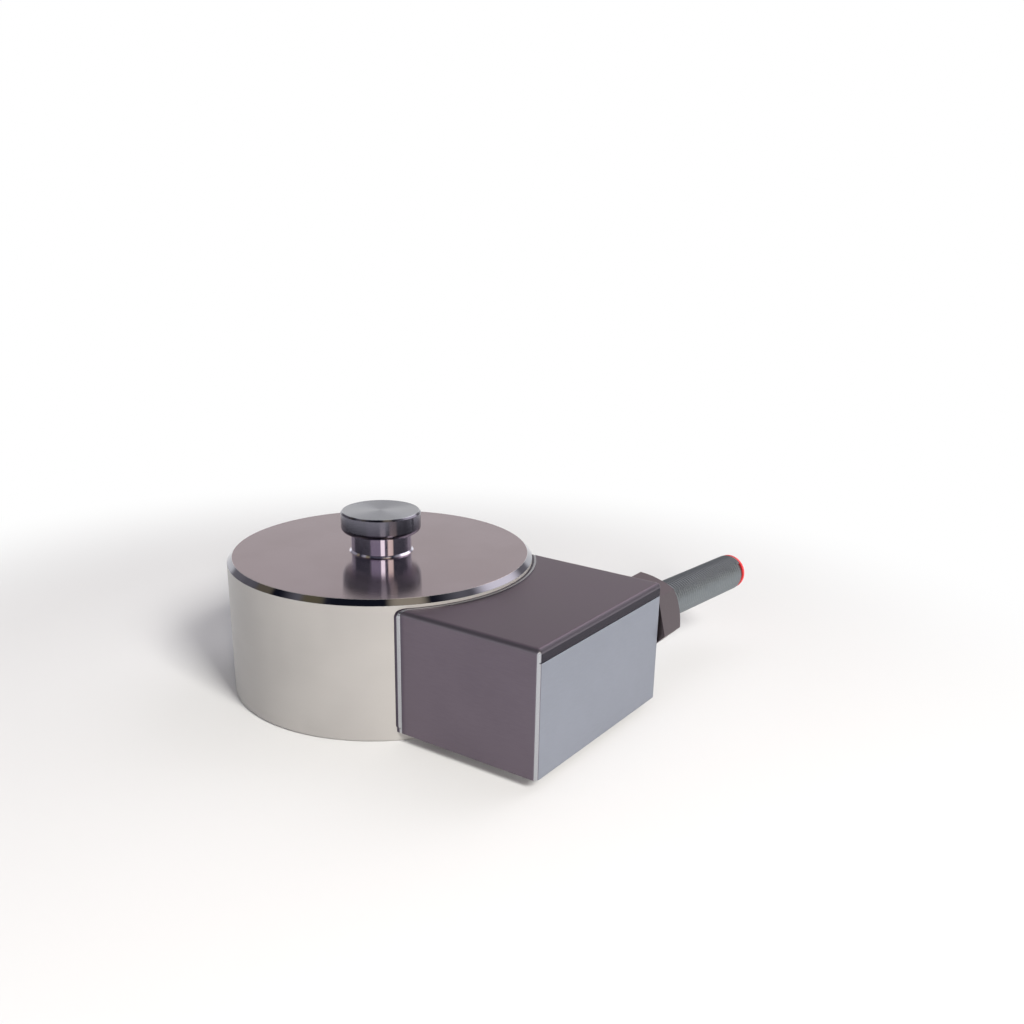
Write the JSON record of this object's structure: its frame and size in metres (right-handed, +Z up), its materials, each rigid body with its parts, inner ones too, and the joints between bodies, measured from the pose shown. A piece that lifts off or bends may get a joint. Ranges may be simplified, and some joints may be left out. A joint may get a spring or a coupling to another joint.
{
  "type": "strain gauge load cell",
  "caption": "Low-profile compression load cell: turned body with a load button on top, a welded side terminal housing, and a cable gland with a ribbed metal guard.",
  "frame": {"origin": "centre of the body's base face, which is also the centre of the base bolt circle", "axes": "+Z up along the load, towards the load button. +X from the body's axis out through the terminal housing. +Y the side of the housing that the cable leaves from."},
  "size_m": [0.1171, 0.1318, 0.0503],
  "materials": {
    "sensor_body": "fine turned, with a polished rim",
    "bottom_cover": "satin",
    "strain_gauges": "amber polyimide foil",
    "gauge_terminals": "tinned copper",
    "compensation_resistor": "amber polyimide foil",
    "bridge_ring_board": "green laminate",
    "gauge_jumpers": "tinned wire",
    "feedthrough_bushing": "potting compound",
    "signal_leads": "sleeved ribbon",
    "terminal_housing": "satin",
    "housing_gasket": "matte",
    "housing_cover": "satin",
    "housing_screws": "bright",
    "board_standoffs": "turned",
    "terminal_board": "green laminate",
    "board_screws": "bright",
    "solder_posts": "tinned",
    "trim_resistors": "lacquered",
    "gland_nipple": "turned",
    "gland_washer": "matte",
    "gland_seal": "matte",
    "gland_nut": "satin",
    "spring_guard": "bright drawn wire",
    "guard_end_bush": "red"
  },
  "bodies": {
    "root": {"sensor_body": "sensor_body", "bottom_cover": "bottom_cover", "strain_gauges": "strain_gauges", "gauge_terminals": "gauge_terminals", "compensation_resistor": "compensation_resistor", "bridge_ring_board": "bridge_ring_board", "gauge_jumpers": "gauge_jumpers", "feedthrough_bushing": "feedthrough_bushing", "signal_leads": "signal_leads", "terminal_housing": "terminal_housing", "housing_gasket": "housing_gasket", "housing_cover": "housing_cover", "housing_screws": "housing_screws", "board_standoffs": "board_standoffs", "terminal_board": "terminal_board", "board_screws": "board_screws", "solder_posts": "solder_posts", "trim_resistors": "trim_resistors", "gland_nipple": "gland_nipple", "gland_washer": "gland_washer", "gland_seal": "gland_seal", "gland_nut": "gland_nut", "spring_guard": "spring_guard", "guard_end_bush": "guard_end_bush"}
  },
  "joints": []
}
